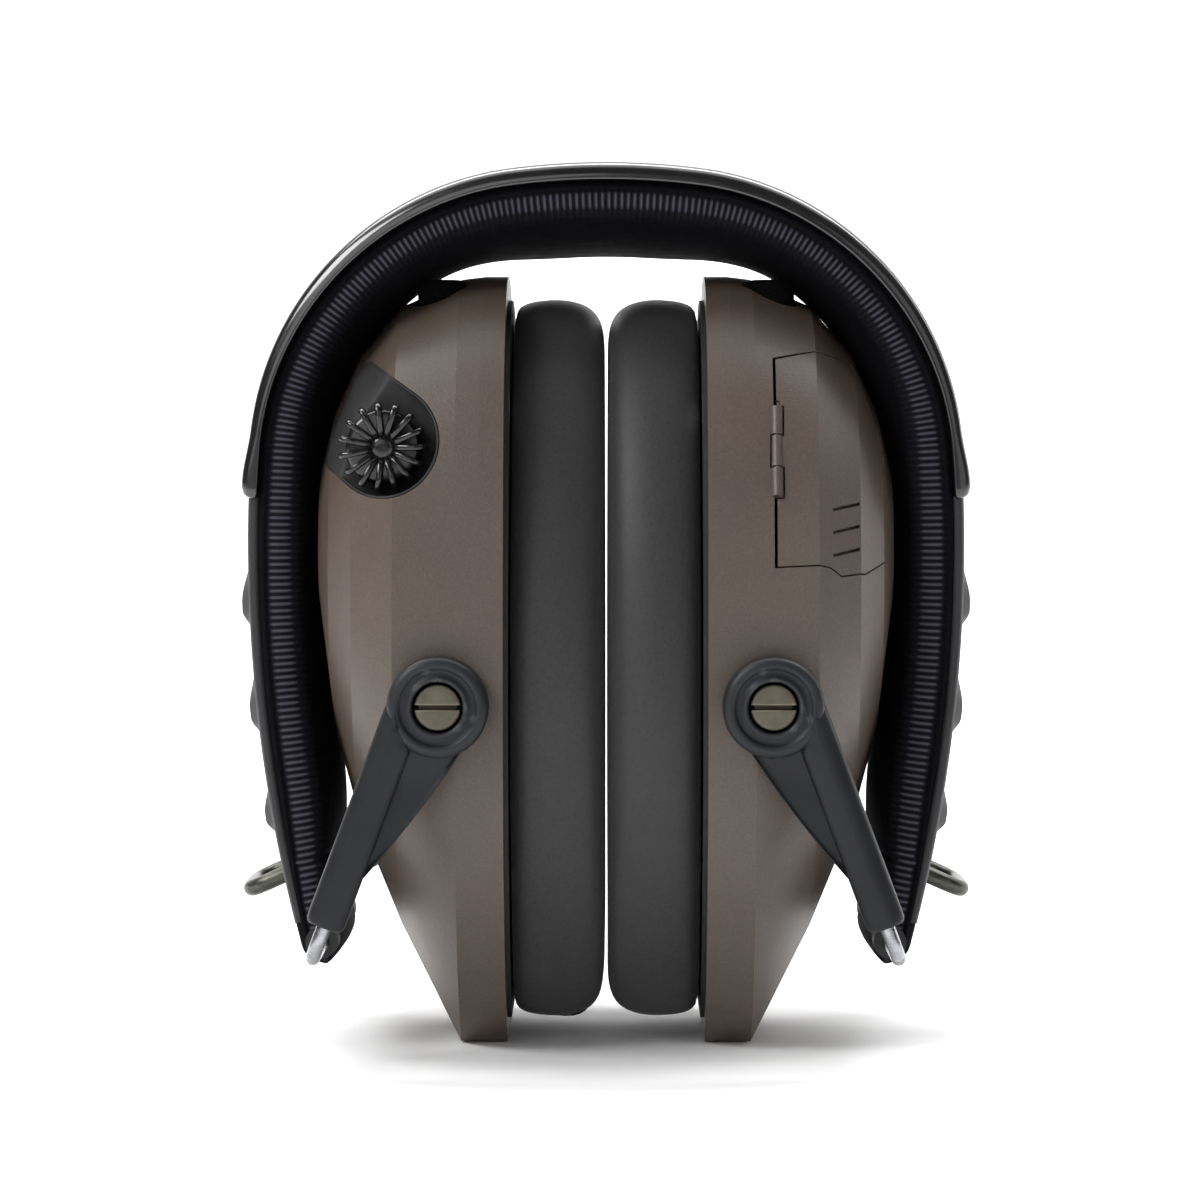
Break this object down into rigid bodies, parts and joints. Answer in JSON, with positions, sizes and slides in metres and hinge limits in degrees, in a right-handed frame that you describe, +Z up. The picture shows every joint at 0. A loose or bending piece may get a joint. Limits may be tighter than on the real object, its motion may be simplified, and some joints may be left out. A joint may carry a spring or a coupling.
{
  "type": "earmuff hearing protector",
  "caption": "Folding earmuff with a padded spring headband, wire yokes and two oval sound-damping cups, folded for storage.",
  "frame": {"origin": "middle of the footprint of the folded muff, on the plane that the cups stand on", "axes": "+X from the left cup to the right cup as seen from the front, +Y to the back, +Z up to the top of the headband"},
  "size_m": [0.1046, 0.0868, 0.1245],
  "materials": {
    "cup_plastic": "satin moulded plastic, taupe brown",
    "cushion_leather": "soft leatherette over foam",
    "band_cover": "glossy moulded cover",
    "band_fabric": "ribbed knit sleeve",
    "grip_rubber": "matte rubber",
    "inner_foam": "open foam",
    "microphone_foam": "fine open foam",
    "spring_steel": "dark spring wire",
    "wire_steel": "bright drawn wire",
    "arm_plastic": "satin nylon",
    "pin_metal": "satin painted pin",
    "knob_plastic": "glossy moulded wheel",
    "black_plastic": "matte black",
    "board": "coated board",
    "cell_jacket": "printed jacket without lettering",
    "contact_metal": "plated spring strip",
    "screw_steel": "zinc-plated"
  },
  "bodies": {
    "crown": {"crown_cover": "band_cover", "crown_sleeve": "band_fabric", "crown_foam": "inner_foam", "crown_springs": "spring_steel"},
    "left_side": {"left_cover": "band_cover", "left_sleeve": "band_fabric", "left_foam": "inner_foam", "left_springs": "spring_steel", "left_grip_strip": "grip_rubber", "left_hinge_barrel": "black_plastic"},
    "right_side": {"right_cover": "band_cover", "right_sleeve": "band_fabric", "right_foam": "inner_foam", "right_springs": "spring_steel", "right_grip_strip": "grip_rubber", "right_hinge_barrel": "black_plastic"},
    "left_yoke": {"left_yoke_wire": "wire_steel"},
    "left_arms": {"left_front_arm": "arm_plastic", "left_rear_arm": "arm_plastic"},
    "left_cup": {"left_cup_shell": "cup_plastic", "left_back_plate": "cup_plastic", "left_ear_cushion": "cushion_leather", "left_cushion_ring": "black_plastic", "left_plate_screws": "screw_steel", "left_speaker_foam": "inner_foam", "left_speaker": "black_plastic", "left_absorber_foam": "inner_foam", "left_microphone_foam": "microphone_foam", "left_microphone": "contact_metal", "left_pivot_pins": "pin_metal", "volume_control": "black_plastic", "circuit_board": "board"},
    "right_yoke": {"right_yoke_wire": "wire_steel"},
    "right_arms": {"right_front_arm": "arm_plastic", "right_rear_arm": "arm_plastic"},
    "right_cup": {"right_cup_shell": "cup_plastic", "right_back_plate": "cup_plastic", "right_ear_cushion": "cushion_leather", "right_cushion_ring": "black_plastic", "right_plate_screws": "screw_steel", "right_speaker_foam": "inner_foam", "right_speaker": "black_plastic", "right_absorber_foam": "inner_foam", "right_microphone_foam": "microphone_foam", "right_microphone": "contact_metal", "right_pivot_pins": "pin_metal", "battery_tray": "black_plastic", "batteries": "cell_jacket", "battery_contacts": "contact_metal", "door_hinge_pin": "screw_steel"},
    "volume_knob": {"volume_knob": "knob_plastic"},
    "battery_door": {"battery_door": "cup_plastic"}
  },
  "joints": [
    {"name": "left_flex", "type": "hinge", "parent": "crown", "child": "left_side", "pos_m": [-0.02903, 0, 0.11835], "axis": [0, 1, 0], "range_deg": [0, 44]},
    {"name": "left_fold", "type": "hinge", "parent": "left_side", "child": "left_yoke", "pos_m": [-0.0399, 0, 0.0151], "axis": [0, 1, 0], "range_deg": [0, 74.2]},
    {"name": "left_size", "type": "slide", "parent": "left_yoke", "child": "left_arms", "axis": [0.3509, 0, 0.9364], "range_m": [0, 0.0181]},
    {"name": "left_tilt", "type": "hinge", "parent": "left_arms", "child": "left_cup", "pos_m": [-0.0227, 0, 0.0496], "axis": [0, -1, 0], "range_deg": [0, 118.2]},
    {"name": "right_flex", "type": "hinge", "parent": "crown", "child": "right_side", "pos_m": [0.02903, 0, 0.11835], "axis": [0, -1, 0], "range_deg": [0, 44]},
    {"name": "right_fold", "type": "hinge", "parent": "right_side", "child": "right_yoke", "pos_m": [0.0399, 0, 0.0151], "axis": [0, -1, 0], "range_deg": [0, 74.2]},
    {"name": "right_size", "type": "slide", "parent": "right_yoke", "child": "right_arms", "axis": [-0.3509, 0, 0.9364], "range_m": [0, 0.0181]},
    {"name": "right_tilt", "type": "hinge", "parent": "right_arms", "child": "right_cup", "pos_m": [0.0227, 0, 0.0496], "axis": [0, 1, 0], "range_deg": [0, 118.2]},
    {"name": "volume_turn", "type": "hinge", "parent": "left_cup", "child": "volume_knob", "pos_m": [-0.0306, -0.03, 0.0846], "axis": [0, 1, 0], "range_deg": [0, 280]},
    {"name": "door_swing", "type": "hinge", "parent": "right_cup", "child": "battery_door", "pos_m": [0.0234, -0.03935, 0.06928], "axis": [0, -0.3613, -0.9325], "range_deg": [0, 90]}
  ],
  "couplings": [
    {"joint": "right_flex", "follows": "left_flex", "ratio": 1},
    {"joint": "left_fold", "follows": "left_flex", "ratio": 1.6818},
    {"joint": "left_size", "follows": "left_flex", "m_per_rad": 0.023439},
    {"joint": "left_tilt", "follows": "left_flex", "ratio": 2.6818},
    {"joint": "right_fold", "follows": "left_flex", "ratio": 1.6818},
    {"joint": "right_size", "follows": "left_flex", "m_per_rad": 0.023439},
    {"joint": "right_tilt", "follows": "left_flex", "ratio": 2.6818}
  ]
}
